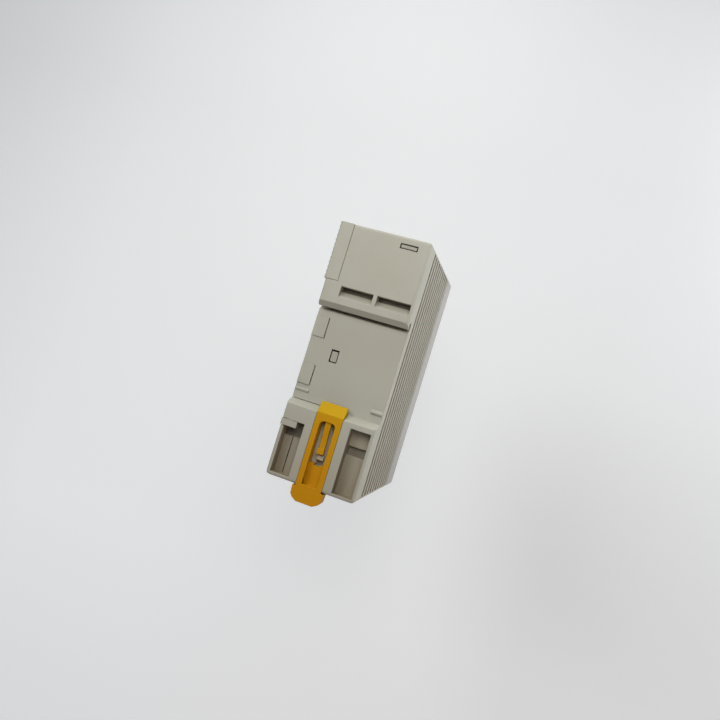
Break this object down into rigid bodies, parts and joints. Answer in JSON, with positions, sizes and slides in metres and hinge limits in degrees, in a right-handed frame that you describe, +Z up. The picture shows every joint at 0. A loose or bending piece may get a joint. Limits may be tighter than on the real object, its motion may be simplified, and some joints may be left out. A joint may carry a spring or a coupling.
{
  "type": "circuit breaker",
  "caption": "Two-pole switch housing for a 35 mm rail: ribbed side, clipped covers, hooked rear channel, amber sliding clip, joined front toggles and screw terminals.",
  "frame": {"origin": "middle of the seat that rests on the rail, at mid width and mid height", "axes": "+Z up as mounted, +Y out of the back towards the rail, toggles at -Y, ribbed side at -X"},
  "size_m": [0.033, 0.0809, 0.0953],
  "materials": {
    "case_plastic": "fine spark-eroded mould texture",
    "cover_plastic": "fine spark-eroded mould texture",
    "front_plastic": "fine spark-eroded mould texture",
    "clip_plastic": "satin moulded",
    "inner_plastic": "moulded",
    "inner_dark": "moulded",
    "handle_plastic": "satin moulded",
    "lens_plastic": "clear moulded",
    "flag_plastic": "moulded",
    "steel": "stamped",
    "spring_steel": "drawn wire",
    "screw_steel": "zinc plated",
    "zinc_steel": "zinc plated",
    "bimetal": "rolled strip",
    "copper": "stamped copper",
    "copper_wire": "enamelled copper wire",
    "braid_copper": "braided copper"
  },
  "bodies": {
    "case": {"base_case": "case_plastic", "side_cover": "cover_plastic", "aux_cover": "cover_plastic", "front_cover": "front_plastic", "pole_partition": "inner_plastic", "handle_pin": "steel", "left_handle_spring": "spring_steel", "left_fixed_contact": "copper", "left_bobbin": "inner_plastic", "left_coil": "copper_wire", "left_yoke": "steel", "left_plunger_spring": "spring_steel", "left_bimetal": "bimetal", "left_load_bar": "copper", "left_line_bar": "copper", "left_braid": "braid_copper", "left_arc_chute": "zinc_steel", "left_arc_runner": "zinc_steel", "left_lens": "lens_plastic", "right_handle_spring": "spring_steel", "right_fixed_contact": "copper", "right_bobbin": "inner_plastic", "right_coil": "copper_wire", "right_yoke": "steel", "right_plunger_spring": "spring_steel", "right_bimetal": "bimetal", "right_load_bar": "copper", "right_line_bar": "copper", "right_braid": "braid_copper", "right_arc_chute": "zinc_steel", "right_arc_runner": "zinc_steel", "right_lens": "lens_plastic"},
    "toggles": {"left_handle": "handle_plastic", "right_handle": "handle_plastic", "tie_bar": "handle_plastic"},
    "trip": {"trip_bar": "inner_plastic"},
    "clip": {"din_clip": "clip_plastic"},
    "left_link_body": {"left_link": "steel"},
    "left_carrier_body": {"left_carrier": "inner_dark", "left_contact_arm": "copper", "left_contact_spring": "spring_steel"},
    "left_flag_body": {"left_flag": "flag_plastic"},
    "left_latch_body": {"left_latch": "steel"},
    "left_plunger_body": {"left_plunger": "steel"},
    "left_upper_screw_body": {"left_upper_screw": "screw_steel"},
    "left_upper_cage_body": {"left_upper_cage": "zinc_steel"},
    "left_lower_screw_body": {"left_lower_screw": "screw_steel"},
    "left_lower_cage_body": {"left_lower_cage": "zinc_steel"},
    "right_link_body": {"right_link": "steel"},
    "right_carrier_body": {"right_carrier": "inner_dark", "right_contact_arm": "copper", "right_contact_spring": "spring_steel"},
    "right_flag_body": {"right_flag": "flag_plastic"},
    "right_latch_body": {"right_latch": "steel"},
    "right_plunger_body": {"right_plunger": "steel"},
    "right_upper_screw_body": {"right_upper_screw": "screw_steel"},
    "right_upper_cage_body": {"right_upper_cage": "zinc_steel"},
    "right_lower_screw_body": {"right_lower_screw": "screw_steel"},
    "right_lower_cage_body": {"right_lower_cage": "zinc_steel"}
  },
  "joints": [
    {"name": "handle_turn", "type": "hinge", "parent": "case", "child": "toggles", "pos_m": [0, -0.0575, 0], "axis": [-1, 0, 0], "range_deg": [0, 52]},
    {"name": "trip_bar_turn", "type": "hinge", "parent": "case", "child": "trip", "pos_m": [0, -0.0385, 0.013], "axis": [1, 0, 0], "range_deg": [0, 15], "stiffness_Nm_per_rad": 0.02, "springref_deg": -5.73},
    {"name": "clip_slide", "type": "slide", "parent": "case", "child": "clip", "axis": [0, 0, -1], "range_m": [0, 0.0045], "stiffness_N_per_m": 300, "springref_m": -0.002},
    {"name": "left_link_turn", "type": "hinge", "parent": "toggles", "child": "left_link_body", "pos_m": [-0.0072, -0.0532, 0.0002], "axis": [1, 0, 0], "range_deg": [0, 60.6]},
    {"name": "left_carrier_turn", "type": "hinge", "parent": "case", "child": "left_carrier_body", "pos_m": [-0.0072, -0.033, -0.006], "axis": [1, 0, 0], "range_deg": [0, 12.3]},
    {"name": "left_flag_slide", "type": "slide", "parent": "case", "child": "left_flag_body", "axis": [0, 0, 1], "range_m": [0, 0.0037]},
    {"name": "left_latch_turn", "type": "hinge", "parent": "case", "child": "left_latch_body", "pos_m": [-0.0027, -0.0444, 0.004], "axis": [1, 0, 0], "range_deg": [0, 10.1]},
    {"name": "left_plunger_slide", "type": "slide", "parent": "case", "child": "left_plunger_body", "axis": [0, -1, 0], "range_m": [0, 0.0026], "stiffness_N_per_m": 200, "springref_m": -0.001},
    {"name": "left_upper_screw_turn", "type": "hinge", "parent": "case", "child": "left_upper_screw_body", "pos_m": [-0.0072, -0.0544, 0.0355], "axis": [0, 1, 0], "range_deg": [0, 1801]},
    {"name": "left_upper_cage_slide", "type": "slide", "parent": "case", "child": "left_upper_cage_body", "axis": [0, -1, 0], "range_m": [0, 0.0035]},
    {"name": "left_lower_screw_turn", "type": "hinge", "parent": "case", "child": "left_lower_screw_body", "pos_m": [-0.0072, -0.0544, -0.0355], "axis": [0, 1, 0], "range_deg": [0, 1801]},
    {"name": "left_lower_cage_slide", "type": "slide", "parent": "case", "child": "left_lower_cage_body", "axis": [0, -1, 0], "range_m": [0, 0.0035]},
    {"name": "right_link_turn", "type": "hinge", "parent": "toggles", "child": "right_link_body", "pos_m": [0.0072, -0.0532, 0.0002], "axis": [1, 0, 0], "range_deg": [0, 60.6]},
    {"name": "right_carrier_turn", "type": "hinge", "parent": "case", "child": "right_carrier_body", "pos_m": [0.0072, -0.033, -0.006], "axis": [1, 0, 0], "range_deg": [0, 12.3]},
    {"name": "right_flag_slide", "type": "slide", "parent": "case", "child": "right_flag_body", "axis": [0, 0, 1], "range_m": [0, 0.0037]},
    {"name": "right_latch_turn", "type": "hinge", "parent": "case", "child": "right_latch_body", "pos_m": [0.0117, -0.0444, 0.004], "axis": [1, 0, 0], "range_deg": [0, 10.1]},
    {"name": "right_plunger_slide", "type": "slide", "parent": "case", "child": "right_plunger_body", "axis": [0, -1, 0], "range_m": [0, 0.0026], "stiffness_N_per_m": 200, "springref_m": -0.001},
    {"name": "right_upper_screw_turn", "type": "hinge", "parent": "case", "child": "right_upper_screw_body", "pos_m": [0.0072, -0.0544, 0.0355], "axis": [0, 1, 0], "range_deg": [0, 1801]},
    {"name": "right_upper_cage_slide", "type": "slide", "parent": "case", "child": "right_upper_cage_body", "axis": [0, -1, 0], "range_m": [0, 0.0035]},
    {"name": "right_lower_screw_turn", "type": "hinge", "parent": "case", "child": "right_lower_screw_body", "pos_m": [0.0072, -0.0544, -0.0355], "axis": [0, 1, 0], "range_deg": [0, 1801]},
    {"name": "right_lower_cage_slide", "type": "slide", "parent": "case", "child": "right_lower_cage_body", "axis": [0, -1, 0], "range_m": [0, 0.0035]}
  ],
  "couplings": [
    {"joint": "left_link_turn", "follows": "handle_turn", "ratio": 1.1635},
    {"joint": "left_carrier_turn", "follows": "handle_turn", "ratio": 0.23462},
    {"joint": "left_flag_slide", "follows": "handle_turn", "m_per_rad": 0.003967},
    {"joint": "left_latch_turn", "follows": "trip_bar_turn", "ratio": 0.6667},
    {"joint": "left_upper_screw_turn", "follows": "left_upper_cage_slide", "rad_per_m": 8976},
    {"joint": "left_lower_screw_turn", "follows": "left_lower_cage_slide", "rad_per_m": 8976},
    {"joint": "right_link_turn", "follows": "handle_turn", "ratio": 1.1635},
    {"joint": "right_carrier_turn", "follows": "handle_turn", "ratio": 0.23462},
    {"joint": "right_flag_slide", "follows": "handle_turn", "m_per_rad": 0.003967},
    {"joint": "right_latch_turn", "follows": "trip_bar_turn", "ratio": 0.6667},
    {"joint": "right_upper_screw_turn", "follows": "right_upper_cage_slide", "rad_per_m": 8976},
    {"joint": "right_lower_screw_turn", "follows": "right_lower_cage_slide", "rad_per_m": 8976}
  ]
}
